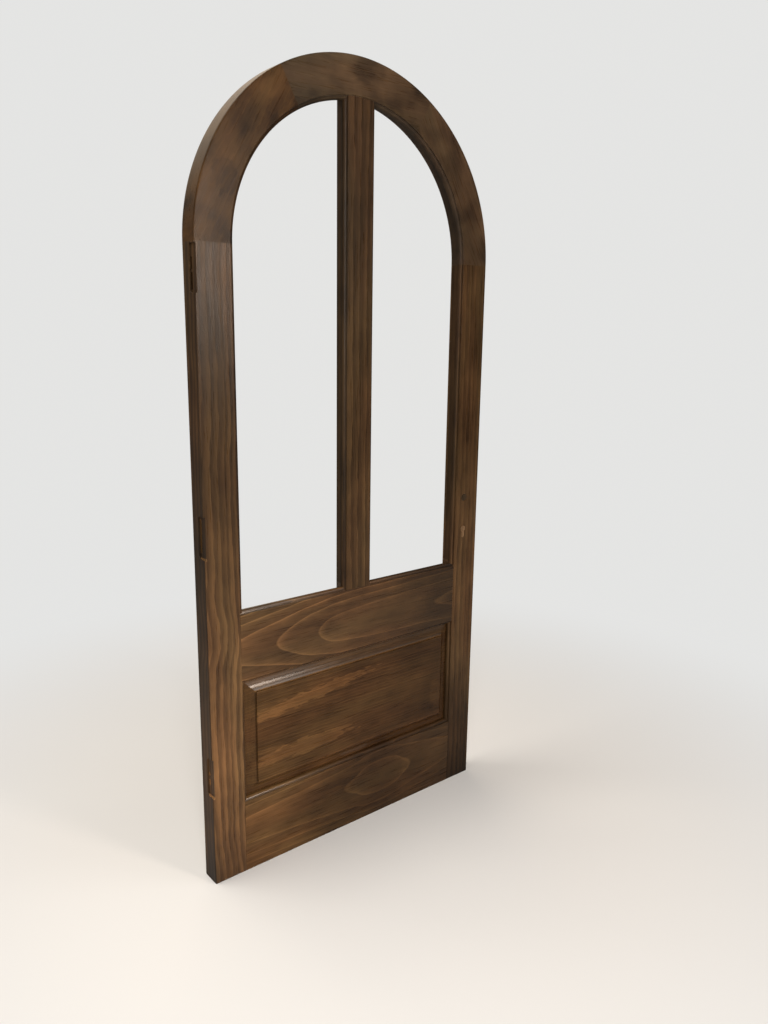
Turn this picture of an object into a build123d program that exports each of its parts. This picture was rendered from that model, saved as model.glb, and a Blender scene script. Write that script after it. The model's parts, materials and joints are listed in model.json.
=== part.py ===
from build123d import *
import math
import os

os.makedirs("parts", exist_ok=True)

# All dimensions are in millimetres. The door stands upright: X runs across it, Y from its moulded front
# face to its back, Z up. The origin is the middle of its footprint.

# The leaf
door_width = 865
door_height = 1940
door_thickness = 54
arris_chamfer = 2

# Frame members
stile_width = 95
muntin_width = 92
mid_rail_width = 185
mid_rail_bottom = 502
bottom_rail_width = 200
head_segments = ("head_left", "head_crown", "head_right")

# Sticking run on every inner edge: a quirked ovolo on the front, a rebate behind it
ovolo_radius = 9
quirk_depth = 3
nosing_depth = 14
rebate_width = 16

# Raised and fielded panel
panel_gap = 2
panel_tongue = 16
panel_margin = 30
panel_step = 3.5
panel_fillet = 3
cove_step = 1
cove_land = 3

# Beads that hold the panel from the back
bead_chamfer = 6

# Tenons on the rails and the muntin
tenon_thickness = 18
tenon_length = 55
rail_tenon_height = 52
rail_tenon_pitch = 86
muntin_tenon_width = 40
muntin_tenon_length = 40
tenon_clearance = 0.2
mortice_end_gap = 2

# Loose tongues across the joints of the arched head
tongue_thickness = 16
tongue_width = 50
tongue_length = 90
tongue_chamfer = 2
tongue_clearance = 0.2

# Hinge recesses in the edge of the hinge stile
hinge_heights = (282, 873, 1454)
hinge_length = 100
hinge_leaf_width = 26
hinge_recess_depth = 4
hinge_corner_radius = 9
hinge_slot_width = 8
hinge_slot_depth = 10
# Slots along the back of each recess: height above the middle of the recess, length
hinge_slots = (((-16, 16), (6, 9)), ((3, 78),), ((10, 27), (-26, 37)))

# Lock mortice and the holes through the lock stile
spindle_height = 874
lock_backset = 53
cylinder_drop = 92
spindle_hole = 20
cylinder_round = 17.5
cylinder_slot_width = 10.5
cylinder_hole_height = 33.5
lock_case_height = 165
lock_case_depth = 72
lock_case_thickness = 16
lock_case_above_spindle = 42
forend_height = 235
forend_width = 22
forend_depth = 3

# Derived positions
front = -door_thickness / 2
outer_radius = door_width / 2
springing = door_height - outer_radius
nosing_radius = outer_radius - stile_width
opening_half = nosing_radius + rebate_width
mid_rail_top = mid_rail_bottom + mid_rail_width
panel_bottom = bottom_rail_width - rebate_width
panel_top = mid_rail_bottom + rebate_width
panel_thickness = nosing_depth * 2 + panel_tongue
panel_raise = nosing_depth
tenon_centre = door_thickness / 2
segment_angle = 180 / len(head_segments)
tongue_from_edge = (stile_width - rebate_width) / 2
arch_axis = Axis((0, 0, springing), (0, 1, 0))


def member_section(width, moulded_both=False, eased=False):
    """Section of a frame member: across it from its plain edge, then back from the front face."""
    face_edge = width - ovolo_radius
    rebate_edge = width - rebate_width
    ovolo_end = quirk_depth + ovolo_radius
    plain_left = ovolo_radius if moulded_both else 0
    rebate_left = rebate_width if moulded_both else 0
    with BuildSketch() as section:
        with BuildLine():
            Polyline((plain_left, 0), (face_edge, 0), (face_edge, quirk_depth))
            TangentArc((face_edge, quirk_depth), (width, ovolo_end), tangent=(1, 0))
            Polyline((width, ovolo_end), (width, nosing_depth), (rebate_edge, nosing_depth),
                     (rebate_edge, door_thickness), (rebate_left, door_thickness))
            if moulded_both:
                Polyline((rebate_left, door_thickness), (rebate_left, nosing_depth), (0, nosing_depth),
                         (0, ovolo_end))
                TangentArc((ovolo_radius, quirk_depth), (0, ovolo_end), tangent=(-1, 0))
                Line((ovolo_radius, quirk_depth), (ovolo_radius, 0))
            else:
                Line((0, door_thickness), (0, 0))
        make_face()
        if eased:
            chamfer(section.vertices().group_by(Axis.X)[0], arris_chamfer)
    return section.sketch


def arch_plane(angle):
    """Plane across the arched head, at an angle up from the left springing point."""
    across, up = math.cos(math.radians(angle)), math.sin(math.radians(angle))
    origin = (-outer_radius * across, front, springing + outer_radius * up)
    return Plane(origin=origin, x_dir=(across, 0, -up), z_dir=(up, 0, across))


def rail_plane(height):
    """Plane across a rail, at its right shoulder, with its section drawn upwards from a height."""
    return Plane(origin=(opening_half, front, height), x_dir=(0, 0, 1), z_dir=(-1, 0, 0))


def tongue_sockets(angle):
    """Cuts the sockets of a loose tongue on both sides of a joint of the arched head."""
    with BuildSketch(arch_plane(angle)) as socket:
        with Locations((tongue_from_edge, door_thickness / 2)):
            Rectangle(tongue_width + tongue_clearance, tongue_thickness + tongue_clearance)
    extrude(socket.sketch, amount=tongue_length / 2 + mortice_end_gap, both=True, mode=Mode.SUBTRACT)


def rail_tenons(centre_height, allowance=0, mode=Mode.ADD):
    """Pairs of tenons at both ends of a rail, or with an allowance the mortices that take them."""
    for side in (-1, 1):
        with BuildSketch(Plane.YZ.offset(side * opening_half)) as pair:
            with Locations((front + tenon_centre, centre_height)):
                with GridLocations(0, rail_tenon_pitch, 1, 2):
                    Rectangle(tenon_thickness + allowance, rail_tenon_height + allowance)
        reach = tenon_length + (mortice_end_gap if allowance else 0)
        extrude(pair.sketch, amount=side * reach, mode=mode)


mid_rail_middle = (mid_rail_bottom + mid_rail_top) / 2
bottom_rail_middle = panel_bottom / 2

# Plain stile with its sticking, used for both stiles and to scribe the shoulders of the rails
with BuildPart() as stile_blank:
    with BuildSketch(Plane(origin=(-outer_radius, front, 0))):
        add(member_section(stile_width, eased=True))
    extrude(amount=springing)

# Whole arch with its sticking, used to scribe the top of the muntin
with BuildPart() as arch_blank:
    with BuildSketch(arch_plane(0)):
        add(member_section(stile_width, eased=True))
    revolve(axis=arch_axis, revolution_arc=180)

# Plain mid rail, its shoulders scribed over the sticking of the stiles
with BuildPart() as mid_rail_blank:
    with BuildSketch(rail_plane(mid_rail_bottom)):
        add(member_section(mid_rail_width, moulded_both=True))
    extrude(amount=2 * opening_half)
    add(stile_blank.part, mode=Mode.SUBTRACT)
    add(mirror(stile_blank.part, about=Plane.YZ), mode=Mode.SUBTRACT)

# Hinge stile, on the left seen from the front, with three routed hinge recesses
with BuildPart() as hinge_stile:
    add(stile_blank.part)
    rail_tenons(mid_rail_middle, tenon_clearance, Mode.SUBTRACT)
    rail_tenons(bottom_rail_middle, tenon_clearance, Mode.SUBTRACT)
    tongue_sockets(0)
    for height, slots in zip(hinge_heights, hinge_slots):
        with BuildSketch(Plane.YZ.offset(-outer_radius)):
            with Locations((front, height)):
                Rectangle(2 * hinge_leaf_width, hinge_length)
            fillet(vertices().group_by(Axis.X)[-1], hinge_corner_radius)
        extrude(amount=hinge_recess_depth, mode=Mode.SUBTRACT)
        with BuildSketch(Plane.YZ.offset(-outer_radius)):
            for rise, length in slots:
                with Locations((front + hinge_leaf_width - hinge_slot_width / 2, height + rise)):
                    SlotOverall(length, hinge_slot_width, rotation=90)
        extrude(amount=hinge_slot_depth, mode=Mode.SUBTRACT)
hinge_stile.part.label = "hinge_stile"
export_step(hinge_stile.part, "parts/hinge_stile.step")

# Lock stile, on the right, with the lock mortice and the holes for spindle and cylinder
with BuildPart() as lock_stile:
    add(mirror(stile_blank.part, about=Plane.YZ))
    rail_tenons(mid_rail_middle, tenon_clearance, Mode.SUBTRACT)
    rail_tenons(bottom_rail_middle, tenon_clearance, Mode.SUBTRACT)
    tongue_sockets(180)
    lock_case_middle = spindle_height + lock_case_above_spindle - lock_case_height / 2
    with BuildSketch(Plane.YZ.offset(outer_radius)):
        with Locations((0, lock_case_middle)):
            Rectangle(lock_case_thickness, lock_case_height)
    extrude(amount=-lock_case_depth, mode=Mode.SUBTRACT)
    with BuildSketch(Plane.YZ.offset(outer_radius)):
        with Locations((0, lock_case_middle)):
            SlotOverall(forend_height, forend_width, rotation=90)
    extrude(amount=-forend_depth, mode=Mode.SUBTRACT)
    with BuildSketch(Plane.XZ.offset(-front)):
        with Locations((outer_radius - lock_backset, spindle_height)):
            Circle(spindle_hole / 2)
        with Locations((outer_radius - lock_backset, spindle_height - cylinder_drop)):
            Circle(cylinder_round / 2)
            slot_reach = cylinder_hole_height - cylinder_round / 2 - cylinder_slot_width / 2
            with Locations((0, -slot_reach / 2)):
                Rectangle(cylinder_slot_width, slot_reach)
            with Locations((0, -slot_reach)):
                Circle(cylinder_slot_width / 2)
    extrude(amount=-door_thickness, mode=Mode.SUBTRACT)
lock_stile.part.label = "lock_stile"
export_step(lock_stile.part, "parts/lock_stile.step")

# Mid rail, between the lights and the panel
with BuildPart() as mid_rail:
    add(mid_rail_blank.part)
    rail_tenons(mid_rail_middle)
    with BuildSketch(Plane.XY.offset(mid_rail_top - rebate_width)):
        with Locations((0, front + tenon_centre)):
            Rectangle(muntin_tenon_width + tenon_clearance, tenon_thickness + tenon_clearance)
    extrude(amount=-(muntin_tenon_length + mortice_end_gap), mode=Mode.SUBTRACT)
mid_rail.part.label = "mid_rail"
export_step(mid_rail.part, "parts/mid_rail.step")

# Bottom rail
with BuildPart() as bottom_rail:
    with BuildSketch(rail_plane(0)):
        add(member_section(bottom_rail_width))
    extrude(amount=2 * opening_half)
    add(stile_blank.part, mode=Mode.SUBTRACT)
    add(mirror(stile_blank.part, about=Plane.YZ), mode=Mode.SUBTRACT)
    rail_tenons(bottom_rail_middle)
bottom_rail.part.label = "bottom_rail"
export_step(bottom_rail.part, "parts/bottom_rail.step")

# Muntin between the two lights, scribed over the mid rail and over the curve of the head
with BuildPart() as muntin:
    with BuildSketch(Plane(origin=(-muntin_width / 2, front, mid_rail_top - rebate_width))):
        add(member_section(muntin_width, moulded_both=True))
    extrude(amount=springing + opening_half - mid_rail_top + rebate_width)
    add(mid_rail_blank.part, mode=Mode.SUBTRACT)
    add(arch_blank.part, mode=Mode.SUBTRACT)
    with BuildSketch(Plane.XY.offset(mid_rail_top - rebate_width - muntin_tenon_length)):
        with Locations((0, front + tenon_centre)):
            Rectangle(muntin_tenon_width, tenon_thickness)
    extrude(amount=springing + opening_half - mid_rail_top + rebate_width + 2 * muntin_tenon_length)
muntin.part.label = "muntin"
export_step(muntin.part, "parts/muntin.step")

# Arched head in equal segments, left to right
for index, name in enumerate(head_segments):
    with BuildPart() as head_segment:
        with BuildSketch(arch_plane(index * segment_angle)):
            add(member_section(stile_width, eased=True))
        revolve(axis=arch_axis, revolution_arc=segment_angle)
        tongue_sockets(index * segment_angle)
        tongue_sockets((index + 1) * segment_angle)
        with BuildSketch(Plane.XY.offset(springing)):
            with Locations((0, front + tenon_centre)):
                Rectangle(muntin_tenon_width + tenon_clearance, tenon_thickness + tenon_clearance)
        extrude(amount=opening_half + muntin_tenon_length + mortice_end_gap, mode=Mode.SUBTRACT)
    head_segment.part.label = name
    export_step(head_segment.part, f"parts/{name}.step")

# Loose tongues in the joints of the head, left to right
for index in range(len(head_segments) + 1):
    with BuildPart() as head_tongue:
        with BuildSketch(arch_plane(index * segment_angle)):
            with Locations((tongue_from_edge, door_thickness / 2)):
                Rectangle(tongue_width, tongue_thickness)
        extrude(amount=tongue_length / 2, both=True)
        chamfer(head_tongue.edges().filter_by(Axis.Y), tongue_chamfer)
    head_tongue.part.label = f"head_tongue_{index + 1}"
    export_step(head_tongue.part, f"parts/head_tongue_{index + 1}.step")

# Raised and fielded panel: a coved raising with a fillet at the field, alike on both faces
panel_half = opening_half - panel_gap
panel_foot = panel_bottom + panel_gap
panel_head = panel_top - panel_gap
panel_middle = (panel_foot + panel_head) / 2
panel_reach = (panel_head - panel_foot) / 2
field_edge = rebate_width - panel_gap + panel_margin
cove_start = rebate_width - panel_gap + cove_land
cove_end = field_edge - panel_fillet
cove_top = panel_step + cove_step
with BuildPart() as panel:
    with BuildSketch(Plane.XZ.offset(-front)):
        with Locations((0, panel_middle)):
            Rectangle(2 * panel_half, 2 * panel_reach)
    extrude(amount=-panel_thickness)
    for face, inward in ((front, 1), (front + panel_thickness, -1)):
        for across, up in ((1, 0), (-1, 0), (0, 1), (0, -1)):
            half = panel_half if across else panel_reach
            origin = (-across * half, face, panel_middle - up * half)
            along = Vector(across, 0, up).cross(Vector(0, inward, 0))
            with BuildSketch(Plane(origin=origin, x_dir=(across, 0, up), z_dir=along)):
                with BuildLine():
                    Polyline((cove_start, panel_raise), (0, panel_raise), (0, 0), (field_edge, 0),
                             (field_edge, panel_step), (cove_end, panel_step), (cove_end, cove_top))
                    TangentArc((cove_start, panel_raise), (cove_end, cove_top), tangent=(1, 0))
                make_face()
            extrude(amount=max(panel_half, panel_reach), both=True, mode=Mode.SUBTRACT)
panel.part.label = "panel"
export_step(panel.part, "parts/panel.step")

# Beads behind the panel, mitred at the corners of the opening
bead_front = front + nosing_depth + panel_tongue
bead_depth = door_thickness - nosing_depth - panel_tongue
bead_reach = opening_half - rebate_width
bead_foot = panel_bottom + rebate_width
bead_head = panel_top - rebate_width
outer_corners = [(-opening_half, panel_bottom), (opening_half, panel_bottom), (opening_half, panel_top),
                 (-opening_half, panel_top)]
inner_corners = [(-bead_reach, bead_foot), (bead_reach, bead_foot), (bead_reach, bead_head),
                 (-bead_reach, bead_head)]
for index, name in enumerate(("bead_bottom", "bead_right", "bead_top", "bead_left")):
    with BuildPart() as bead:
        with BuildSketch(Plane.XZ.offset(-bead_front)):
            with BuildLine():
                following = (index + 1) % len(outer_corners)
                Polyline(outer_corners[index], outer_corners[following], inner_corners[following],
                         inner_corners[index], close=True)
            make_face()
        extrude(amount=-bead_depth)
        mitres_then_inner_then_outer = edges().group_by(Axis.Y)[-1].sort_by(SortBy.LENGTH)
        chamfer(mitres_then_inner_then_outer[-2], bead_chamfer)
    bead.part.label = name
    export_step(bead.part, f"parts/{name}.step")
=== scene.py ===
import json
import math

import bmesh
import bpy
from bpy.props import FloatProperty, FloatVectorProperty, IntProperty, PointerProperty
from mathutils import Matrix, Vector


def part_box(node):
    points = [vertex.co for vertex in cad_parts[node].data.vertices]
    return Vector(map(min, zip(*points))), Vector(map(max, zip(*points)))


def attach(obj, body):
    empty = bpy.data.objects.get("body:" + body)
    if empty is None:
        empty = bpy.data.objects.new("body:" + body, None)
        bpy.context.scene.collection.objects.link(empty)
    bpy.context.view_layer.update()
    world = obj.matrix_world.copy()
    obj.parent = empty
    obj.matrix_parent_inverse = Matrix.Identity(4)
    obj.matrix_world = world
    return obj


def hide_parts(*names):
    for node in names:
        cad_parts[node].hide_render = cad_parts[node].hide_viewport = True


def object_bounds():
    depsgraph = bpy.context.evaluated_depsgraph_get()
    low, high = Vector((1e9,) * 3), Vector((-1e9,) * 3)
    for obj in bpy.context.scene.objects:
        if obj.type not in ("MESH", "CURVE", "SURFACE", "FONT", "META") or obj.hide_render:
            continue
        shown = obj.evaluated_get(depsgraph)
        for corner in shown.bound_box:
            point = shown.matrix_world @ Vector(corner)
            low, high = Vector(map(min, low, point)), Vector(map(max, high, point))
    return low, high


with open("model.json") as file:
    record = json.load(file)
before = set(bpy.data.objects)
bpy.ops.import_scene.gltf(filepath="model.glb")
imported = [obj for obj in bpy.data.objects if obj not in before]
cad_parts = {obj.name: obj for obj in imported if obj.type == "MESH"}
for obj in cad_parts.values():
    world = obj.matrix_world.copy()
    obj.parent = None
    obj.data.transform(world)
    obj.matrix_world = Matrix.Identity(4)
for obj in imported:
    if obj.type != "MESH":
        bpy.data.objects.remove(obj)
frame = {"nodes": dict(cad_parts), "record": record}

bl_info = {
    "name": "Arched wooden door",
    "version": (1, 0, 0),
    "blender": (4, 5, 0),
    "location": "View3D > Sidebar > Door",
    "description": "Dresses a round-headed door leaf of stained softwood and sets it in a pale studio",
    "category": "Object",
}

CAD_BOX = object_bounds()
NODES = frame["nodes"]
MOUNTS = {mount["name"]: Vector(mount["pos_m"]) for mount in frame["record"]["mounts"]}

LEAF_MEMBERS = ("hinge_stile", "lock_stile", "mid_rail", "bottom_rail", "muntin")
HEAD_SEGMENTS = ("head_left", "head_crown", "head_right")
BEADS = ("bead_left", "bead_right", "bead_bottom", "bead_top")
TONGUES = tuple(f"head_tongue_{number}" for number in (1, 2, 3, 4))

# Places on the leaf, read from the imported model, in metres
LEFT, RIGHT = CAD_BOX[0].x, CAD_BOX[1].x
FRONT, BACK = CAD_BOX[0].y, CAD_BOX[1].y
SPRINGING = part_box("hinge_stile")[1].z
RAIL_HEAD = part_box("mid_rail")[1].z
ARCH_CENTRE = Vector((0.0, 0.0, SPRINGING))
HEAD_JOINTS = tuple(math.radians(angle) for angle in (0, 60, 120, 180))
TOUCHING = 0.00001  # points of the model that lie closer than this in depth are in one plane

# How each board was sawn from its log and took the stain. All lengths are in metres.
#   centre, turn: the point on the leaf that its figure is placed by, and its length's turn about Y from X
#   pith_across, pith_depth: how far the pith of the log lay across the board and behind its middle
#   rise: places along the board from its centre, and how many rings nearer the pith the face comes there
#   ring_width, waver, ripple, phase: width of a ring, how far rings stray across and in depth, their start
#   breadth, contrast: how wide the late wood of a ring is, and how far it shows
#   mottle, streaks: how far the board's own clouds and its fine grain show
#   tone: how pale the stain is
#   depths: the same at places, which run up an upright and from left to right on any other board; partly the
#       stain's own unevenness, partly painted shade and light that follows how the light fell across the
#       leaf
#   edge: two heights, and how pale the hinge edge and its recess floors are painted at them as a share of
#       the face: painted shade low down, painted light high up
#   hue, shine, clouds: tint of the stain, its gloss, and how far the slow clouds over the whole leaf show;
#       the grey tints of the crown and the right segment of the head are partly the stain's own tint, partly
#       painted sheen
#   painted_shade_and_stain: depths behind the front face between which stain gathered and shade is painted
#   varnish: depths between which varnish gathered, and the height that it starts at, None for the panel
#   coat: refraction and roughness of the gathered varnish
#   patch: pale (positive) or dark patches as X, Z, half width, half height, tilt, strength
UPRIGHT = -math.pi / 2
BOARDS = {
    "hinge_stile": dict(
        centre=(-0.385, 0, 0.65), turn=UPRIGHT, pith_across=0.110, pith_depth=0.075,
        rise=((-0.65, 0.6), (-0.3, -0.2), (-0.1, 0.0), (-0.02, 0.9), (0.08, 0.1), (0.85, 0.6)),
        ring_width=0.0120, waver=0.0060, ripple=0.30, breadth=0.50, contrast=0.72, mottle=0.5,
        depths=((0.0, 0.60), (0.40, 1.13), (0.70, 0.68), (1.05, 0.39), (1.47, 0.36)),
        # the hinge edge: painted shade below 0.8 m, painted light above 1.3 m
        edge=(0.80, 1.30, 0.36, 1.15), shine=0.18,
        patch=((-0.429, 0.232, 0.0026, 0.0035, 0.0, 1.2), (-0.429, 0.823, 0.0026, 0.0035, 0.0, 1.2))),
    "lock_stile": dict(
        centre=(0.385, 0, 3.30), turn=UPRIGHT, pith_across=0.110, pith_depth=0.070,
        ring_width=0.0130, waver=0.0040, ripple=0.15, breadth=0.30, contrast=0.56, mottle=0.5,
        depths=((0.0, 0.13), (0.20, 0.37), (0.50, 0.63), (1.0, 0.55), (1.47, 0.53)),
        hue=(0.98, 1.04, 1.14), shine=0.09),
    "muntin": dict(
        centre=(0, 0, 5.10), turn=UPRIGHT, pith_across=0.070, pith_depth=0.075,
        ring_width=0.0125, waver=0.0055, ripple=0.25, breadth=0.30, contrast=0.70, mottle=0.5,
        depths=((0.70, 0.52), (1.10, 0.47), (1.84, 0.42)),
        hue=(0.98, 1.04, 1.14), shine=0.12),
    "mid_rail": dict(
        centre=(0.0, 0, 0.583), turn=0.0, pith_depth=0.200,
        rise=((-0.41, 0.0), (-0.238, 1.0), (-0.122, 2.0), (-0.06, 2.38), (0.293, 3.0), (0.43, 3.4)),
        ring_width=0.0075, waver=0.0025, ripple=0.05, phase=0.71, contrast=0.90, mottle=0.5,
        depths=((-0.43, 0.84), (-0.25, 0.83), (0.0, 0.70), (0.30, 0.335), (0.43, 0.315)),
        shine=0.17, varnish=(0.0003, 0.0120, 0.660)),
    "bottom_rail": dict(
        centre=(0.083, 0, 0.110), turn=0.0, pith_depth=0.200,
        rise=((-0.43, -0.85), (-0.09, 0.0), (-0.05, 0.38), (0.0, 0.53), (0.05, 0.38), (0.09, 0.0),
              (0.26, -0.9)),
        ring_width=0.0075, waver=0.0012, ripple=0.04, phase=0.56, contrast=0.52, mottle=0.5,
        depths=((-0.43, 1.08), (-0.25, 0.98), (0.0, 0.46), (0.25, 0.44), (0.43, 0.42)),
        hue=(1.01, 0.99, 0.93), shine=0.12, varnish=(0.0003, 0.0040, 0.170)),
    "head_left": dict(
        centre=(-0.33, 0, 9.70), turn=math.radians(-60), pith_across=0.03, pith_depth=0.120,
        ring_width=0.0160, waver=0.0200, ripple=1.2, contrast=0.22, mottle=0.7, streaks=0.5,
        depths=((-0.43, 0.51), (-0.33, 0.57), (-0.20, 0.58)),
        hue=(1.02, 1.0, 0.91), shine=0.11, clouds=0.32,
        patch=((-0.355, 1.645, 0.030, 0.040, 0.5, -0.16), (-0.225, 1.822, 0.036, 0.050, 0.5, 0.10))),
    "head_crown": dict(
        centre=(0.0, 0, 12.90), turn=0.0, pith_across=-0.02, pith_depth=0.130,
        ring_width=0.0160, waver=0.0180, ripple=1.2, contrast=0.22, mottle=0.7, streaks=0.5,
        depths=((-0.30, 0.37), (-0.15, 0.46), (0.0, 0.72), (0.15, 0.50), (0.30, 0.41)),
        # grey tint, partly the stain's own and partly painted sheen
        hue=(0.98, 1.17, 1.52), shine=0.16, clouds=0.30),
    "head_right": dict(
        centre=(0.33, 0, 15.70), turn=math.radians(60), pith_across=0.03, pith_depth=0.120,
        ring_width=0.0160, waver=0.0160, ripple=1.2, contrast=0.22, mottle=0.7, streaks=0.5,
        # grey tint, partly the stain's own and partly painted sheen
        tone=0.53, hue=(0.96, 1.11, 1.45), shine=0.16, clouds=0.28),
    "panel": dict(
        centre=(0.0, 0, 0.35), turn=0.0, pith_across=0.24, pith_depth=0.120,
        ring_width=0.0070, waver=0.0060, ripple=0.25, contrast=0.55, mottle=0.5,
        depths=((-0.35, 0.68), (-0.20, 0.71), (0.0, 0.57), (0.25, 0.41), (0.37, 0.39)),
        hue=(1.04, 0.98, 0.88), shine=0.10,
        painted_shade_and_stain=(0.0022, 0.0044), varnish=(0.0044, 0.0135, None), coat=(1.75, 0.27),
        patch=((-0.15, 0.420, 0.20, 0.016, 0.10, 0.38), (-0.27, 0.404, 0.05, 0.010, 0.15, 0.20),
               (-0.17, 0.286, 0.15, 0.020, 0.0, 0.31), (-0.27, 0.306, 0.07, 0.007, -0.1, 0.22),
               (0.29, 0.300, 0.022, 0.040, 0.0, 0.15))),
    "bead_left": dict(centre=(-0.345, 0, 20.0), turn=UPRIGHT, pith_across=0.05, pith_depth=0.050),
    "bead_right": dict(centre=(0.345, 0, 21.0), turn=UPRIGHT, pith_across=0.05, pith_depth=0.050),
    "bead_bottom": dict(centre=(22.0, 0, 0.19), turn=0.0, pith_across=0.05, pith_depth=0.050),
    "bead_top": dict(centre=(23.0, 0, 0.51), turn=0.0, pith_across=0.05, pith_depth=0.050),
}
SAWING = ("pith_across", "pith_depth", "ring_width", "waver", "ripple", "phase", "breadth", "contrast",
          "mottle", "streaks", "tone")

# Noises in the wood: waves per metre along, into and across the board, then detail and roughness
SLOW_BEND = ((3.0, 5.0, 7.0), 2.0, 0.5)
QUICK_BEND = ((14.0, 30.0, 34.0), 3.0, 0.6)
HAIR = ((45.0, 1500.0, 1500.0), 2.0, 0.5)
FIBRE = ((16.0, 380.0, 380.0), 3.0, 0.6)
STREAK = ((4.0, 90.0, 90.0), 3.0, 0.6)
CLOUD = ((7.0, 12.0, 14.0), 3.0, 0.55)
DRIFT = ((2.5, 9.0, 16.0), 2.0, 0.5)
TEAR = ((18.0, 40.0, 95.0), 3.0, 0.6)

# The rings: how far the bends move them, how unevenly they grew, their shade at places through one ring, and
# where late wood that is widened begins and ends in it
SLOW_REACH, QUICK_REACH = 4.0, 1.6
GROWTH_WAVES, GROWTH_CHANGE = 70.0, 0.8
RING_SHADES = ((0.0, 0.0), (0.45, 0.06), (0.80, 0.25), (0.91, 0.60), (0.955, 1.0), (0.975, 0.80), (1.0, 0.0))
WIDE_START, WIDE_END = (0.25, 0.70), (0.86, 1.0)

# The stained wood: its own lightness, how far the faintest ring and a ring in a dark cloud show, and how far
# each noise lightens it
BASE_LIGHTNESS = 0.23
FAINTEST_RING, CLOUDED_RING = 0.55, 0.6
STREAK_LIGHT, FIBRE_LIGHT, HAIR_LIGHT, CLOUD_LIGHT = 0.40, 0.38, 0.30, 1.3
WARM_DRIFT, COOL_DRIFT = (1.04, 0.97, 0.94, 1.0), (0.97, 1.01, 0.98, 1.0)

# Its gloss: roughness of the smoothest and the roughest grain, and how much rougher it is on the hinge edge
# and where stain gathered and shade is painted, which darkens it with that painted shade and the gathered
# stain
SMOOTHEST, ROUGHEST, DULLING = 0.26, 0.35, 0.3
SHADE_AND_STAIN_DARKNESS = 0.4

# Its relief: how far fibres, hairs and rings stand out, the depth in metres, and its strength on stained and
# on bare wood
FIBRE_RELIEF, HAIR_RELIEF, RING_RELIEF = 0.5, 0.3, 0.3
RELIEF_DEPTH, STAINED_RELIEF, BARE_RELIEF = 0.0004, 0.35, 0.4

# The slow clouds over the whole leaf: shift, waves per metre, and the noise of the darkest and palest
CLOUD_SHIFT, CLOUD_WAVES, CLOUD_ENDS = (3.1, 0.0, 1.7), 13.0, (0.34, 0.66)

# A patch in the stain, in shares of its half width and height: how far it is torn, where it ends and how
# strong it is, and the same for its rim
TEAR_REACH = 2.3
PATCH_END, PATCH_STRENGTH = (0.85, 1.05), 0.75
RIM_START, RIM_END, RIM_STRENGTH = (0.65, 0.92), (0.96, 1.08), 0.45

# Where the masks of the finish and of its painted shade and highlight begin and end, in metres
EDGE_SKIN = (0.0006, 0.0012)  # in from the hinge edge, or behind the front face
RECESS_FLOOR = (0.0044, 0.0050)  # in from the hinge edge, past the floors of its recesses, which share its painted shade and light
FIELD_SKIN = (0.0021, 0.0027)  # behind the front face, past the panel's field
FIELD_HEAD = (-0.002, 0.001)  # up past the top of the panel's field, where the painted highlight on the fillet begins
QUIRKS = (0.0021, 0.0036)  # behind the front face, from and to the quirks of the mouldings, where stain gathered and shade is painted
REVEALS = (0.0045, BACK - FRONT - 0.004)  # behind the front face, from and to the sides of the lights, which get painted shade
LIGHTS = (RIGHT - 0.075, RIGHT - 0.065)  # out from the middle of the lights, past their sides
SILL = (RAIL_HEAD - 0.002, RAIL_HEAD + 0.002)  # up past the top of the mid rail
VARNISHED = (-0.29, 0.0)  # across the leaf, from glossy to dull varnish
DEPTH_START, DEPTH_END = 0.0006, 0.0008  # of any mask between two depths
VARNISH_FOOT, VARNISH_MITRE = 0.006, 0.002  # past the height or the mitre where varnish starts

# How much varnish gathered on the right, how strong the painted highlight is on the fillet over the panel's
# field, and how strong a patch has to be to keep the painted shade and light off the hinge edge
DULL_VARNISH = 0.22
PAINTED_FILLET_HIGHLIGHT = -2.5
PALE_PATCH = (0.1, 0.4)

# What a board has that says nothing else of these
PLAIN_BOARD = dict(hue=(1.0, 1.0, 1.0), shine=0.22, clouds=0.035, painted_shade_and_stain=QUIRKS, coat=(1.5, 0.19), patch=())

# The slots of the lock stile's materials, the reach of the cuts for the lock in metres, a little over their
# sizes, and the depth of its eased edges, which stay stained
# the third slot is bare wood darkened with painted shade, inside the spindle hole
STAINED, BARE, SHADED_SPINDLE_HOLE = 0, 1, 2
FOREND_HALF_WIDTH, LOCK_CASE_REACH = 0.0112, 0.078
CYLINDER_HALF_WIDTH, CYLINDER_HALF_HEIGHT, SPINDLE_RADIUS = 0.0092, 0.0260, 0.0105
EASED = 0.0009

# Soft lamps: name, place, what it points at, width, height, power, colour, spread in degrees
LAMPS = (
    ("Front light", (-2.2, -3.0, 1.9), (0.0, 0.0, 0.6), 1.4, 1.4, 44.0, (1.0, 0.97, 0.92), 110),
    ("High side light", (4.25, -4.5, 6.8), (-0.2, 0.0, 0.5), 3.0, 3.0, 75.0, (1.0, 0.97, 0.93), 180),
    ("Window", (1.4, -4.2, 1.95), (-0.4, 0.0, 0.6), 0.7, 1.4, 80.0, (1.0, 0.84, 0.71), 180),
    ("High rear light", (0.4, 3.4, 3.6), (-0.3, 0.0, 1.7), 4.0, 3.0, 50.0, (1.0, 0.82, 0.62), 180),
    ("Overhead light", (-1.7, 0.8, 4.2), (-0.6, 0.3, 0.0), 2.2, 2.2, 100.0, (1.0, 0.92, 0.82), 180),
)
FLOOR_HALF_SIZE = 30.0
FLOOR_FADE = (0.5, 2.1)  # metres from the origin between which the floor turns into the backdrop

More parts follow.
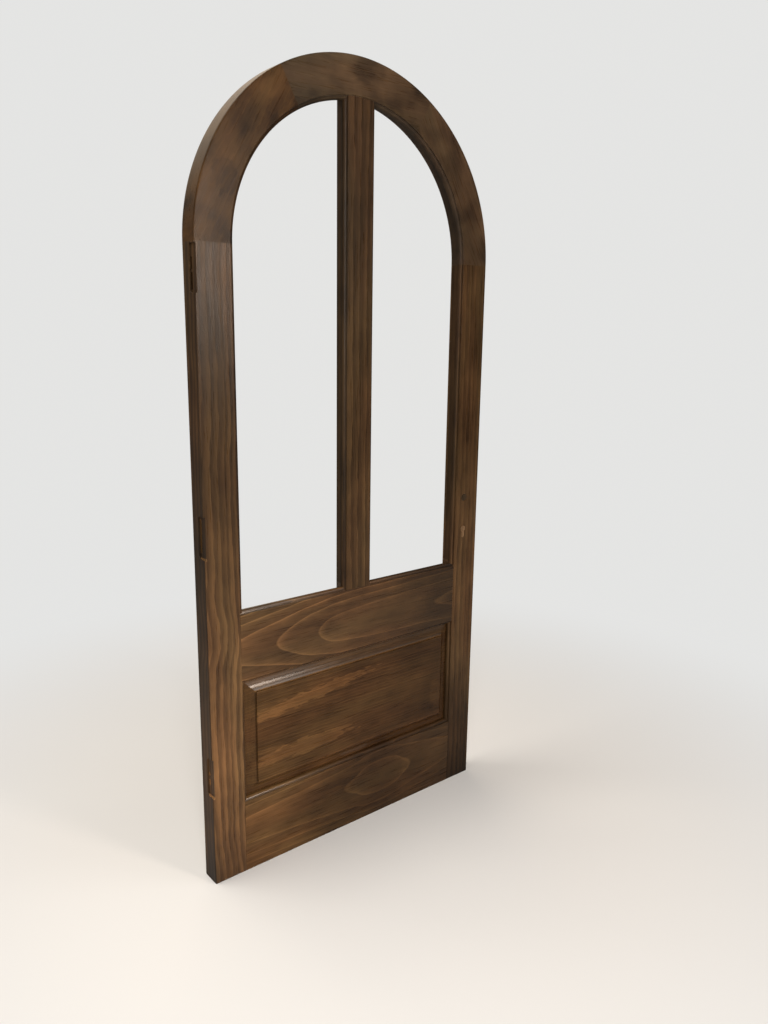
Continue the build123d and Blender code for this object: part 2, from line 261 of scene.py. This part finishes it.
# The camera, fitted to the leaf's edges in the photograph: place and axes in metres, lens in millimetres
CAMERA_PLACE = Vector((-1.230296, -1.619140, 1.325767))
CAMERA_RIGHT = Vector((0.7728818, -0.6344003, 0.0137831))
CAMERA_FORWARD = Vector((0.6218030, 0.7528454, -0.2158352))
CAMERA_LENS, SENSOR_WIDTH = 37.831, 36.0

# A curve takes places on a stretch of this length about 0 and gives values on this span about 0
CURVE_LENGTH, CURVE_SPAN = 2.0, 8.0


class NodeBench:
    """Adds nodes to one node tree; an input may be a value or another node's output."""

    def __init__(self, tree):
        self.tree = tree

    def add(self, kind, inputs=None, **settings):
        node = self.tree.nodes.new(kind)
        for name, value in settings.items():
            setattr(node, name, value)
        for name, value in (inputs or {}).items():
            if isinstance(value, bpy.types.NodeSocket):
                self.tree.links.new(value, node.inputs[name])
            else:
                node.inputs[name].default_value = value
        return node

    def math(self, operation, first, second=0.0):
        return self.add("ShaderNodeMath", {0: first, 1: second}, operation=operation).outputs[0]

    def sum(self, *values):
        total = values[0]
        for value in values[1:]:
            total = self.math("ADD", total, value)
        return total

    def minus(self, first, second):
        return self.math("SUBTRACT", first, second)

    def times(self, *values):
        product = values[0]
        for value in values[1:]:
            product = self.math("MULTIPLY", product, value)
        return product

    def spread(self, value, low, high, new_low=0.0, new_high=1.0, blend="SMOOTHSTEP"):
        """A value between low and high, carried over to the new low and high, and held outside them."""
        ends = {"From Min": low, "From Max": high, "To Min": new_low, "To Max": new_high}
        return self.add("ShaderNodeMapRange", {"Value": value, **ends}, interpolation_type=blend).outputs[0]

    def split(self, vector):
        return self.add("ShaderNodeSeparateXYZ", {0: vector}).outputs[:3]

    def join(self, x, y, z):
        return self.add("ShaderNodeCombineXYZ", {0: x, 1: y, 2: z}).outputs[0]

    def vector(self, operation, inputs):
        return self.add("ShaderNodeVectorMath", inputs, operation=operation).outputs

    def spot(self):
        """Place of the surface on the leaf, as one vector."""
        return self.add("ShaderNodeTexCoord").outputs["Object"]

    def noise(self, vector, detail, roughness, scale=1.0):
        inputs = {"Vector": vector, "Scale": scale, "Detail": detail, "Roughness": roughness}
        return self.add("ShaderNodeTexNoise", inputs).outputs

    def grain_noise(self, place, waves, detail, roughness):
        """Noise drawn out along the board; place holds the three coordinates of the board."""
        drawn_out = self.join(*(self.times(part, wave) for part, wave in zip(place, waves)))
        return self.noise(drawn_out, detail, roughness)

    def grain_change(self, place, kind):
        """One of the noises in the wood, as a change about 0."""
        return self.minus(self.grain_noise(place, *kind)["Fac"], 0.5)

    def curve(self, place, points):
        """A smooth curve through points of place and value."""
        share = self.sum(self.times(place, 1.0 / CURVE_LENGTH), 0.5)
        node = self.add("ShaderNodeFloatCurve", {"Value": share})
        line = node.mapping.curves[0].points
        while len(line) < len(points):
            line.new(0.5, 0.5)
        for knot, (where, value) in zip(line, points):
            knot.location = (where / CURVE_LENGTH + 0.5, value / CURVE_SPAN + 0.5)
        node.mapping.update()
        return self.times(self.minus(node.outputs[0], 0.5), CURVE_SPAN)

    def blend(self, factor, first, second, kind="MIX"):
        """A mix of two colours; its sockets share names, so they are found by number."""
        return self.add("ShaderNodeMix", {0: factor, 6: first, 7: second}, data_type="RGBA",
                        blend_type=kind).outputs[2]

    def relief(self, height, strength):
        inputs = {"Strength": strength, "Distance": RELIEF_DEPTH, "Height": height}
        return self.add("ShaderNodeBump", inputs).outputs["Normal"]


def new_group(name, inputs, outputs):
    """A shader node group with named sockets; inputs are (name, type, value) and outputs (name, type)."""
    tree = bpy.data.node_groups.new(name, "ShaderNodeTree")
    for label, kind, value in inputs:
        socket = tree.interface.new_socket(label, in_out="INPUT", socket_type=f"NodeSocket{kind}")
        if value is not None:
            socket.default_value = value
    for label, kind in outputs:
        tree.interface.new_socket(label, in_out="OUTPUT", socket_type=f"NodeSocket{kind}")
    bench = NodeBench(tree)
    return bench, tree.nodes.new("NodeGroupInput").outputs, tree.nodes.new("NodeGroupOutput").inputs


RING_INPUTS = (("Vector", "Vector", None), ("Rise", "Float", 0.0), ("Pith Across", "Float", 0.0),
               ("Pith Depth", "Float", 0.1), ("Ring Width", "Float", 0.006), ("Waver", "Float", 0.003),
               ("Ripple", "Float", 0.2), ("Phase", "Float", 0.0), ("Breadth", "Float", 0.0))
STAIN_INPUTS = (("Contrast", "Float", 0.8), ("Mottle", "Float", 0.5), ("Tone", "Float", 1.0),
                ("Patch", "Float", 0.0), ("Painted Shade And Stain", "Float", 0.0), ("Streaks", "Float", 1.0),
                ("Dark", "Color", None), ("Light", "Color", None), ("Hue", "Color", (1.0, 1.0, 1.0, 1.0)))


def ring_shade(bench, part, breadth):
    """Shade at a part of the way through one ring, with its late wood widened by the breadth."""
    ramp = bench.add("ShaderNodeValToRGB", {0: part})
    elements = ramp.color_ramp.elements
    while len(elements) < len(RING_SHADES):
        elements.new(0.5)
    for element, (place, shade) in zip(elements, RING_SHADES):
        element.position = place
        element.color = (shade, shade, shade, 1.0)
    broad = bench.times(bench.spread(part, *WIDE_START), bench.spread(part, *WIDE_END, 1.0, 0.0))
    return bench.sum(ramp.outputs[0], bench.times(bench.minus(broad, ramp.outputs[0]), breadth))


def growth_rings():
    """Rings of a log round its pith, cut by the board.

    X runs along the grain, Y into the board and Z across it.
    """
    name = "Growth Rings"
    if name in bpy.data.node_groups:
        return bpy.data.node_groups[name]
    bench, given, made = new_group(name, RING_INPUTS, (("Late Wood", "Float"), ("Ring Tone", "Float")))
    place = bench.split(given["Vector"])
    deep, across = place[1:]
    slow = bench.split(bench.grain_noise(place, *SLOW_BEND)["Color"])
    quick = bench.split(bench.grain_noise(place, *QUICK_BEND)["Color"])
    stray, wander = (bench.sum(bench.times(bench.minus(slow[axis], 0.5), SLOW_REACH),
                               bench.times(bench.minus(quick[axis], 0.5), QUICK_REACH)) for axis in (0, 1))
    side = bench.sum(bench.minus(across, given["Pith Across"]), bench.times(stray, given["Waver"]))
    climb = bench.minus(bench.times(wander, given["Ripple"]), given["Rise"])
    depth = bench.sum(bench.minus(given["Pith Depth"], deep), bench.times(climb, given["Ring Width"]))
    radius = bench.math("SQRT", bench.sum(bench.times(side, side), bench.times(depth, depth)))
    growth = bench.noise(bench.join(bench.times(radius, GROWTH_WAVES), 0.0, 0.0), 1.0, 0.5)["Fac"]
    rings = bench.math("DIVIDE", radius, given["Ring Width"])
    count = bench.sum(rings, bench.times(bench.minus(growth, 0.5), GROWTH_CHANGE), given["Phase"])
    late_wood = ring_shade(bench, bench.math("FRACT", count), given["Breadth"])
    ring = {"W": bench.math("FLOOR", count)}
    ring_tone = bench.add("ShaderNodeTexWhiteNoise", ring, noise_dimensions="1D").outputs[0]
    bench.tree.links.new(late_wood, made["Late Wood"])
    bench.tree.links.new(ring_tone, made["Ring Tone"])
    return bench.tree


def stained_softwood_group():
    """Colour, gloss and relief of softwood under a dark satin stain."""
    name = "Stained Softwood"
    if name in bpy.data.node_groups:
        return bpy.data.node_groups[name]
    bench, given, made = new_group(name, (*RING_INPUTS, *STAIN_INPUTS),
                                   (("Color", "Color"), ("Roughness", "Float"), ("Height", "Float")))
    rings = bench.add("ShaderNodeGroup", {label: given[label] for label, *_ in RING_INPUTS},
                      node_tree=growth_rings()).outputs
    place = bench.split(given["Vector"])
    hair, fibre, streak, cloud = (bench.grain_change(place, kind) for kind in (HAIR, FIBRE, STREAK, CLOUD))
    late = bench.times(rings["Late Wood"], bench.spread(rings["Ring Tone"], 0.0, 1.0, FAINTEST_RING, 1.0),
                       bench.spread(cloud, -0.2, 0.2, CLOUDED_RING, 1.0), given["Contrast"])
    fine = bench.sum(bench.times(streak, STREAK_LIGHT), bench.times(fibre, FIBRE_LIGHT),
                     bench.times(hair, HAIR_LIGHT))
    lightness = bench.sum(late, bench.times(fine, given["Streaks"]),
                          bench.times(cloud, CLOUD_LIGHT, given["Mottle"]), given["Patch"], BASE_LIGHTNESS)
    tint = bench.blend(bench.spread(lightness, 0.0, 1.0, 0.0, 1.0, "LINEAR"), given["Dark"], given["Light"])
    drift = bench.spread(bench.grain_noise(place, *DRIFT)["Fac"], 0.35, 0.65)
    drifted = bench.blend(1.0, tint, bench.blend(drift, WARM_DRIFT, COOL_DRIFT), "MULTIPLY")
    stained = bench.blend(1.0, drifted, given["Hue"], "MULTIPLY")
    # the mask of gathered stain and painted shade darkens the colour: painted shade, and the stain gathered
    # in the quirks
    strength = bench.times(given["Tone"], bench.minus(1.0, bench.times(given["Painted Shade And Stain"], SHADE_AND_STAIN_DARKNESS)))
    toned = bench.vector("SCALE", {0: stained, "Scale": strength})[0]
    worn = bench.sum(fibre, bench.times(streak, 0.5))
    gloss = bench.spread(worn, -0.25, 0.25, SMOOTHEST, ROUGHEST)
    relief = bench.sum(bench.times(fibre, FIBRE_RELIEF), bench.times(hair, HAIR_RELIEF),
                       bench.times(rings["Late Wood"], RING_RELIEF))
    bench.tree.links.new(toned, made["Color"])
    bench.tree.links.new(gloss, made["Roughness"])
    bench.tree.links.new(relief, made["Height"])
    return bench.tree


def begin_material(name):
    material = bpy.data.materials.new(name)
    material.use_nodes = True
    bench = NodeBench(material.node_tree)
    return material, bench, material.node_tree.nodes["Principled BSDF"]


def board_place(bench, centre, turn):
    """Place on the leaf, turned and moved so that X runs along the board and its figure is centred."""
    inputs = {"Vector": bench.spot(), "Location": centre, "Rotation": (0.0, turn, 0.0)}
    return bench.add("ShaderNodeMapping", inputs, vector_type="TEXTURE").outputs[0]


def stain_patches(bench, grain, patches):
    """Sum of a board's pale and dark patches, with edges torn along the grain."""
    if not patches:
        return 0.0
    spot = bench.spot()
    tear = bench.grain_noise(bench.split(grain), *TEAR)["Color"]
    centred = bench.vector("SUBTRACT", {0: tear, 1: (0.5, 0.5, 0.5)})[0]
    torn = bench.vector("SCALE", {0: centred, "Scale": TEAR_REACH})[0]
    total = 0.0
    for x, z, half_width, half_height, tilt, strength in patches:
        inputs = {"Vector": spot, "Location": (x, FRONT, z), "Rotation": (0.0, -tilt, 0.0),
                  "Scale": (half_width, 0.2, half_height)}
        place = bench.add("ShaderNodeMapping", inputs, vector_type="TEXTURE").outputs[0]
        reach = bench.vector("LENGTH", {0: bench.vector("ADD", {0: place, 1: torn})[0]})["Value"]
        inside = bench.times(bench.spread(reach, *PATCH_END, 1.0, 0.0), PATCH_STRENGTH)
        rim = bench.times(bench.spread(reach, *RIM_START), bench.spread(reach, *RIM_END, 1.0, 0.0),
                          RIM_STRENGTH)
        total = bench.sum(total, bench.times(bench.sum(inside, rim), strength))
    return total


def stain_clouds(bench, strength):
    """Slow changes in the stain that run on from board to board."""
    moved = bench.add("ShaderNodeMapping", {"Vector": bench.spot(), "Location": CLOUD_SHIFT}).outputs[0]
    cloud = bench.noise(moved, 3.0, 0.5, CLOUD_WAVES)["Fac"]
    return bench.times(bench.spread(cloud, *CLOUD_ENDS, -0.5, 0.5), strength)


def lying_between(bench, start, end):
    """Where the surface lies between two depths behind the front face."""
    depth = bench.minus(bench.split(bench.spot())[1], FRONT)
    begun = bench.spread(depth, start, start + DEPTH_START)
    return bench.times(begun, bench.spread(depth, end, end + DEPTH_END, 1.0, 0.0))


def in_the_lights(bench):
    """Where the surface is a side of one of the two lights, which is darkened with painted shade and dulled.
    """
    side, _, height = bench.split(bench.spot())
    up = bench.math("MAXIMUM", bench.minus(height, SPRINGING), 0.0)
    reach = bench.math("SQRT", bench.sum(bench.times(side, side), bench.times(up, up)))
    return bench.times(lying_between(bench, *REVEALS), bench.spread(reach, *LIGHTS, 1.0, 0.0),
                       bench.spread(height, *SILL))


def on_hinge_edge(bench, board):
    """Where the surface is the leaf's hinge edge or, on the hinge stile, the floor of a recess in it; on the
    hinge stile these get painted shade and light.
    """
    side, deep, _ = bench.split(bench.spot())
    inwards = bench.minus(side, LEFT)
    if "edge" not in board:
        return bench.spread(inwards, *EDGE_SKIN, 1.0, 0.0)
    behind_face = bench.spread(bench.minus(deep, FRONT), *EDGE_SKIN)
    return bench.times(bench.spread(inwards, *RECESS_FLOOR, 1.0, 0.0), behind_face)


def raised_field(name):
    """The raised field of a panel: its left, right and top edges."""
    corners = [NODES[name].matrix_world @ vertex.co for vertex in NODES[name].data.vertices]
    face = min(corner.y for corner in corners)
    flat = [corner for corner in corners if corner.y < face + TOUCHING]
    sides = [corner.x for corner in flat]
    return min(sides), max(sides), max(corner.z for corner in flat)


def on_panel_field(bench):
    """Where the surface is the front of the panel's field."""
    deep = bench.split(bench.spot())[1]
    return bench.spread(bench.minus(deep, FRONT), *FIELD_SKIN, 1.0, 0.0)


def shade_and_stain_mask(bench, name, depths):
    """Mask of gathered stain and painted shade: stain gathered in the quirks, with painted shade in them,
    painted shade on the sides of the lights and round the panel's field, and a painted highlight on the
    fillet over the field.
    """
    painted_shade_and_stain = lying_between(bench, *depths)
    if name != "panel":
        return bench.math("MAXIMUM", painted_shade_and_stain, in_the_lights(bench))
    above = bench.minus(bench.split(bench.spot())[2], raised_field(name)[2])
    # on the panel, the mask turns negative on the fillet over the top of the field, which is a painted
    # highlight
    return bench.times(painted_shade_and_stain, bench.spread(above, *FIELD_HEAD, 1.0, PAINTED_FILLET_HIGHLIGHT))


def gathered_varnish(bench, name):
    """Where varnish gathered on a moulding that looks up, glossy on the left and duller to the right."""
    side, _, height = bench.split(bench.spot())
    start, end, foot = BOARDS[name]["varnish"]
    if foot is None:
        left, right, top = raised_field(name)
        beside = bench.math("MAXIMUM", bench.minus(left, side), bench.minus(side, right))
        above = bench.spread(bench.minus(bench.minus(height, top), beside), 0.0, VARNISH_MITRE)
    else:
        above = bench.spread(height, foot, foot + VARNISH_FOOT)
    fading = bench.spread(side, *VARNISHED, 1.0, DULL_VARNISH)
    return bench.times(lying_between(bench, start, end), above, fading)


def stain_tone_and_painted_light(bench, board, on_edge, patches):
    """How pale the stain is along a board, partly its own unevenness and partly painted shade and light, and
    the painted shade and light on the hinge edge of the stile but for its torn patches.
    """
    side, _, height = bench.split(bench.spot())
    place, middle = (height, CURVE_LENGTH / 2) if board["turn"] == UPRIGHT else (side, 0.0)
    points = [(where - middle, value) for where, value in board["depths"]]
    depth = bench.curve(bench.minus(place, middle), points)
    if "edge" not in board:
        return depth
    # painted shade low down and painted light high up on the hinge edge and its recess floors, kept off the
    # pale patches
    low, high, low_share, high_share = board["edge"]
    darker = bench.times(on_edge, bench.spread(height, low, high, 1.0 - low_share, 1.0 - high_share),
                         bench.spread(patches, *PALE_PATCH, 1.0, 0.0))
    return bench.times(depth, bench.minus(1.0, darker))


def stained_board(name):
    """The stained finish on one board, with that board's own sawing, and painted shade and highlight laid
    into its colour.
    """
    colours = bpy.context.scene.door_colours
    board = {**PLAIN_BOARD, **BOARDS[name]}
    material, bench, surface = begin_material(f"Stained {name.replace('_', ' ')}")
    grain = board_place(bench, board["centre"], board["turn"])
    patches = stain_patches(bench, grain, board["patch"])
    if name == "panel":
        patches = bench.times(patches, on_panel_field(bench))
    on_edge = on_hinge_edge(bench, board)
    # stain gathered in the quirks, painted shade there, on the sides of the lights and round the panel's
    # field, and a painted highlight on the fillet over the field
    painted_shade_and_stain = shade_and_stain_mask(bench, name, board["painted_shade_and_stain"])
    given = {key.replace("_", " ").title(): board[key] for key in SAWING if key in board}
    given["Vector"] = grain
    given["Patch"] = bench.sum(stain_clouds(bench, board["clouds"]), patches)
    given["Painted Shade And Stain"] = painted_shade_and_stain
    given["Hue"] = (*board["hue"], 1.0)
    given["Dark"] = (*colours.stain_dark, 1.0)
    given["Light"] = (*colours.stain_light, 1.0)
    if "rise" in board:
        given["Rise"] = bench.curve(bench.split(grain)[0], board["rise"])
    if "depths" in board:
        given["Tone"] = stain_tone_and_painted_light(bench, board, on_edge, patches)
    wood = bench.add("ShaderNodeGroup", given, node_tree=stained_softwood_group()).outputs
    duller = on_edge if name == "panel" else bench.math("MAXIMUM", on_edge, painted_shade_and_stain)
    links = bench.tree.links
    links.new(wood["Color"], surface.inputs["Base Color"])
    links.new(bench.sum(wood["Roughness"], bench.times(duller, DULLING)), surface.inputs["Roughness"])
    links.new(bench.relief(wood["Height"], STAINED_RELIEF), surface.inputs["Normal"])
    surface.inputs["Specular IOR Level"].default_value = board["shine"]
    if "varnish" in board:
        refraction, roughness = board["coat"]
        links.new(gathered_varnish(bench, name), surface.inputs["Coat Weight"])
        surface.inputs["Coat IOR"].default_value = refraction
        surface.inputs["Coat Roughness"].default_value = roughness
    return material


def bare_board(name, centre, tone):
    """Bare planed softwood, for the tongues and for cuts made after staining."""
    colours = bpy.context.scene.door_colours
    material, bench, surface = begin_material(name)
    given = {"Vector": board_place(bench, centre, UPRIGHT), "Tone": tone,
             "Dark": (*colours.bare_light, 1.0), "Light": (*colours.bare_dark, 1.0)}
    wood = bench.add("ShaderNodeGroup", given, node_tree=stained_softwood_group()).outputs
    bench.tree.links.new(wood["Color"], surface.inputs["Base Color"])
    bench.tree.links.new(bench.relief(wood["Height"], BARE_RELIEF), surface.inputs["Normal"])
    surface.inputs["Roughness"].default_value = 0.7
    return material


def lock_cut(place):
    """Slot of the lock stile's material at a place, which is another one inside the cuts for the lock."""
    spindle, cylinder = MOUNTS["spindle_hole"], MOUNTS["cylinder_hole"]
    if abs(place.y) < FOREND_HALF_WIDTH and RIGHT - LOCK_CASE_REACH < place.x < RIGHT - EASED:
        return BARE
    if not FRONT + EASED < place.y < BACK - EASED:
        return STAINED
    beside, above = abs(place.x - cylinder.x), abs(place.z - cylinder.z)
    if beside < CYLINDER_HALF_WIDTH and above < CYLINDER_HALF_HEIGHT:
        return BARE
    reach = math.hypot(place.x - spindle.x, place.z - spindle.z)
    # inside the spindle hole: bare wood darkened with painted shade
    return SHADED_SPINDLE_HOLE if reach < SPINDLE_RADIUS else STAINED


def on_head_joint(edge, nearness):
    """Whether an edge lies in one of the tight joints of the arched head, which were sanded flush."""
    for angle in HEAD_JOINTS:
        along = Vector((math.sin(angle), 0.0, math.cos(angle)))
        if all(abs((corner.co - ARCH_CENTRE).dot(along)) < nearness for corner in edge.verts):
            return True
    return False


def eased_shape(name):
    """The shape of one CAD board, with its triangles merged and its sharp edges eased."""
    sizes = bpy.context.scene.door_sizes
    shape = bmesh.new()
    shape.from_mesh(NODES[name].data)
    bmesh.ops.remove_doubles(shape, verts=shape.verts, dist=sizes.merge_distance)
    bmesh.ops.dissolve_limit(shape, angle_limit=sizes.flat_angle, verts=shape.verts, edges=shape.edges)
    corners = [edge for edge in shape.edges
               if edge.is_manifold and edge.is_convex and edge.calc_face_angle() > sizes.corner_angle
               and not on_head_joint(edge, sizes.merge_distance)]
    bmesh.ops.bevel(shape, geom=corners, offset=sizes.easing, offset_type="OFFSET",
                    segments=sizes.easing_segments, profile=0.5, affect="EDGES", material=-1)
    return shape


def finished_board(name, materials):
    """A finished copy of one CAD board, which stands in its place."""
    shape = eased_shape(name)
    for face in shape.faces:
        face.smooth = True
        face.material_index = lock_cut(face.calc_center_median()) if name == "lock_stile" else STAINED
    for edge in shape.edges:
        edge.smooth = edge.calc_face_angle(0.0) < bpy.context.scene.door_sizes.shading_angle
    mesh = bpy.data.meshes.new(f"{name}_finished")
    shape.to_mesh(mesh)
    shape.free()
    for material in materials:
        mesh.materials.append(material)
    piece = bpy.data.objects.new(f"{name}_finished", mesh)
    bpy.context.scene.collection.objects.link(piece)
    weighted = piece.modifiers.new("Flat faces stay flat", "WEIGHTED_NORMAL")
    weighted.keep_sharp = True
    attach(piece, "root")
    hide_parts(name)


def studio_floor_material():
    """Pale floor that fades into the backdrop, as the camera sees it, well away from the door's shadow."""
    colours = bpy.context.scene.door_colours
    material, bench, surface = begin_material("Studio floor")
    surface.inputs["Base Color"].default_value = (*colours.floor, 1.0)
    surface.inputs["Roughness"].default_value = 0.8
    surface.inputs["Specular IOR Level"].default_value = 0.2
    reach = bench.vector("LENGTH", {0: bench.spot()})["Value"]
    seen = bench.add("ShaderNodeLightPath").outputs["Is Camera Ray"]
    far = bench.times(bench.spread(reach, *FLOOR_FADE), seen)
    glow = bench.add("ShaderNodeEmission", {"Color": (*colours.backdrop, 1.0)}).outputs[0]
    both = bench.add("ShaderNodeMixShader", {0: far, 1: surface.outputs[0], 2: glow}).outputs[0]
    bench.tree.links.new(both, material.node_tree.nodes["Material Output"].inputs["Surface"])
    return material


def studio_floor():
    """The floor under the leaf."""
    shape = bmesh.new()
    bmesh.ops.create_grid(shape, x_segments=1, y_segments=1, size=FLOOR_HALF_SIZE)
    mesh = bpy.data.meshes.new("studio_floor")
    shape.to_mesh(mesh)
    shape.free()
    floor = bpy.data.objects.new("studio_floor", mesh)
    bpy.context.scene.collection.objects.link(floor)
    mesh.materials.append(studio_floor_material())


def studio_lamps():
    """The soft lamps, each pointed at its own place on the leaf."""
    for name, place, aim, width, height, power, colour, spread in LAMPS:
        lamp = bpy.data.lights.new(name, "AREA")
        lamp.shape = "RECTANGLE"
        lamp.size = width
        lamp.size_y = height
        lamp.energy = power
        lamp.color = colour
        lamp.spread = math.radians(spread)
        source = bpy.data.objects.new(name, lamp)
        source.location = place
        source.visible_camera = False
        source.rotation_euler = (Vector(aim) - Vector(place)).to_track_quat("-Z", "Y").to_euler()
        bpy.context.scene.collection.objects.link(source)


def studio_backdrop():
    """The light from all round, which the camera sees as the pale backdrop."""
    colours = bpy.context.scene.door_colours
    world = bpy.data.worlds.new("Studio")
    world.use_nodes = True
    bpy.context.scene.world = world
    bench = NodeBench(world.node_tree)
    seen = bench.add("ShaderNodeLightPath").outputs["Is Camera Ray"]
    tint = bench.blend(seen, (*[colours.room] * 3, 1.0), (*colours.backdrop, 1.0))
    bench.tree.links.new(tint, world.node_tree.nodes["Background"].inputs["Color"])


def photograph_camera():
    """The camera at the photograph's point of view."""
    camera = bpy.data.cameras.new("Camera")
    camera.sensor_fit = "HORIZONTAL"
    camera.sensor_width = SENSOR_WIDTH
    camera.lens = CAMERA_LENS
    eye = bpy.data.objects.new("Camera", camera)
    up = CAMERA_RIGHT.cross(CAMERA_FORWARD)
    turned = Matrix((CAMERA_RIGHT, up, -CAMERA_FORWARD)).transposed().to_4x4()
    eye.matrix_world = Matrix.Translation(CAMERA_PLACE) @ turned
    bpy.context.scene.collection.objects.link(eye)
    bpy.context.scene.camera = eye


class DoorSizes(bpy.types.PropertyGroup):
    """Small sizes of the finish, which the solids don't carry"""
    easing: FloatProperty(
        name="Easing", description="Width sanded off each sharp edge", default=0.0008, min=0.0,
        unit="LENGTH")
    easing_segments: IntProperty(
        name="Easing segments", description="Faces across each eased edge", default=2, min=1)
    merge_distance: FloatProperty(
        name="Merge distance", description="Points closer than this are one point", default=0.00001,
        unit="LENGTH")
    flat_angle: FloatProperty(
        name="Flat angle", description="Faces that turn less than this are one face",
        default=math.radians(0.6), subtype="ANGLE")
    corner_angle: FloatProperty(
        name="Corner angle", description="Edges sharper than this are eased", default=math.radians(30),
        subtype="ANGLE")
    shading_angle: FloatProperty(
        name="Shading angle", description="Edges sharper than this shade as edges", default=math.radians(50),
        subtype="ANGLE")


class DoorColours(bpy.types.PropertyGroup):
    """Colours of the finishes and of the studio, linear"""
    stain_dark: FloatVectorProperty(
        name="Stain, dark", description="Stained early wood", subtype="COLOR",
        default=(0.030, 0.0145, 0.0055), min=0.0, max=1.0)
    stain_light: FloatVectorProperty(
        name="Stain, light", description="Stained late wood", subtype="COLOR",
        default=(0.220, 0.114, 0.045), min=0.0, max=1.0)
    bare_light: FloatVectorProperty(
        name="Bare, light", description="Bare early wood", subtype="COLOR",
        default=(0.60, 0.40, 0.22), min=0.0, max=1.0)
    bare_dark: FloatVectorProperty(
        name="Bare, dark", description="Bare late wood", subtype="COLOR",
        default=(0.38, 0.20, 0.09), min=0.0, max=1.0)
    floor: FloatVectorProperty(
        name="Floor", description="Studio floor", subtype="COLOR",
        default=(0.79, 0.79, 0.79), min=0.0, max=1.0)
    backdrop: FloatVectorProperty(
        name="Backdrop", description="Background as the camera sees it", subtype="COLOR",
        default=(0.78, 0.78, 0.77), min=0.0, max=1.0)
    room: FloatProperty(
        name="Room light", description="Strength of the light from all round", default=0.13, min=0.0)


class DOOR_OT_studio(bpy.types.Operator):
    """Sets the floor, the lights and the camera at the photograph's point of view"""
    bl_idname = "door.studio"
    bl_label = "Studio"

    def execute(self, context):
        studio_floor()
        studio_lamps()
        studio_backdrop()
        photograph_camera()
        context.scene.view_settings.view_transform = "Standard"
        return {"FINISHED"}


class DOOR_OT_frame_members(bpy.types.Operator):
    """Finishes the stiles, rails and muntin of the leaf"""
    bl_idname = "door.frame_members"
    bl_label = "Stiles, rails and muntin"

    def execute(self, context):
        # the second bare wood, much darker, is painted shade inside the spindle hole
        cuts = [bare_board("Bare cuts", centre=(0.385, 0.0, 31.0), tone=0.55),
                bare_board("Shaded spindle hole", centre=(0.385, 0.0, 32.0), tone=0.14)]
        for name in LEAF_MEMBERS:
            materials = [stained_board(name)]
            if name == "lock_stile":
                materials += cuts
            finished_board(name, materials)
        return {"FINISHED"}


class DOOR_OT_head(bpy.types.Operator):
    """Finishes the three segments of the arched head"""
    bl_idname = "door.head"
    bl_label = "Arched head"

    def execute(self, context):
        for name in HEAD_SEGMENTS:
            finished_board(name, [stained_board(name)])
        return {"FINISHED"}


class DOOR_OT_panel(bpy.types.Operator):
    """Finishes the raised and fielded panel and the beads behind it"""
    bl_idname = "door.panel"
    bl_label = "Panel and beads"

    def execute(self, context):
        for name in ("panel", *BEADS):
            finished_board(name, [stained_board(name)])
        return {"FINISHED"}


class DOOR_OT_tongues(bpy.types.Operator):
    """Gives the loose tongues in the head's joints their bare wood"""
    bl_idname = "door.tongues"
    bl_label = "Loose tongues"

    def execute(self, context):
        wood = bare_board("Bare tongues", centre=(0.0, 0.0, 30.0), tone=1.0)
        for name in TONGUES:
            for slot in NODES[name].material_slots:
                slot.material = wood
        return {"FINISHED"}


class DOOR_PT_sidebar(bpy.types.Panel):
    """Lists the door's steps, sizes and colours"""
    bl_idname = "DOOR_PT_sidebar"
    bl_label = "Arched wooden door"
    bl_space_type = "VIEW_3D"
    bl_region_type = "UI"
    bl_category = "Door"

    def draw(self, context):
        for operator in OPERATORS:
            self.layout.operator(operator.bl_idname)
        for group in (context.scene.door_sizes, context.scene.door_colours):
            for name in group.__annotations__:
                self.layout.prop(group, name)


OPERATORS = (DOOR_OT_studio, DOOR_OT_frame_members, DOOR_OT_head, DOOR_OT_panel, DOOR_OT_tongues)
CLASSES = (DoorSizes, DoorColours, *OPERATORS, DOOR_PT_sidebar)


def register():
    for cls in CLASSES:
        bpy.utils.register_class(cls)
    bpy.types.Scene.door_sizes = PointerProperty(type=DoorSizes)
    bpy.types.Scene.door_colours = PointerProperty(type=DoorColours)


def unregister():
    del bpy.types.Scene.door_colours
    del bpy.types.Scene.door_sizes
    for cls in reversed(CLASSES):
        bpy.utils.unregister_class(cls)


def main():
    register()
    bpy.ops.door.studio()
    bpy.ops.door.frame_members()
    bpy.ops.door.head()
    bpy.ops.door.panel()
    bpy.ops.door.tongues()


if __name__ == "__main__":
    main()
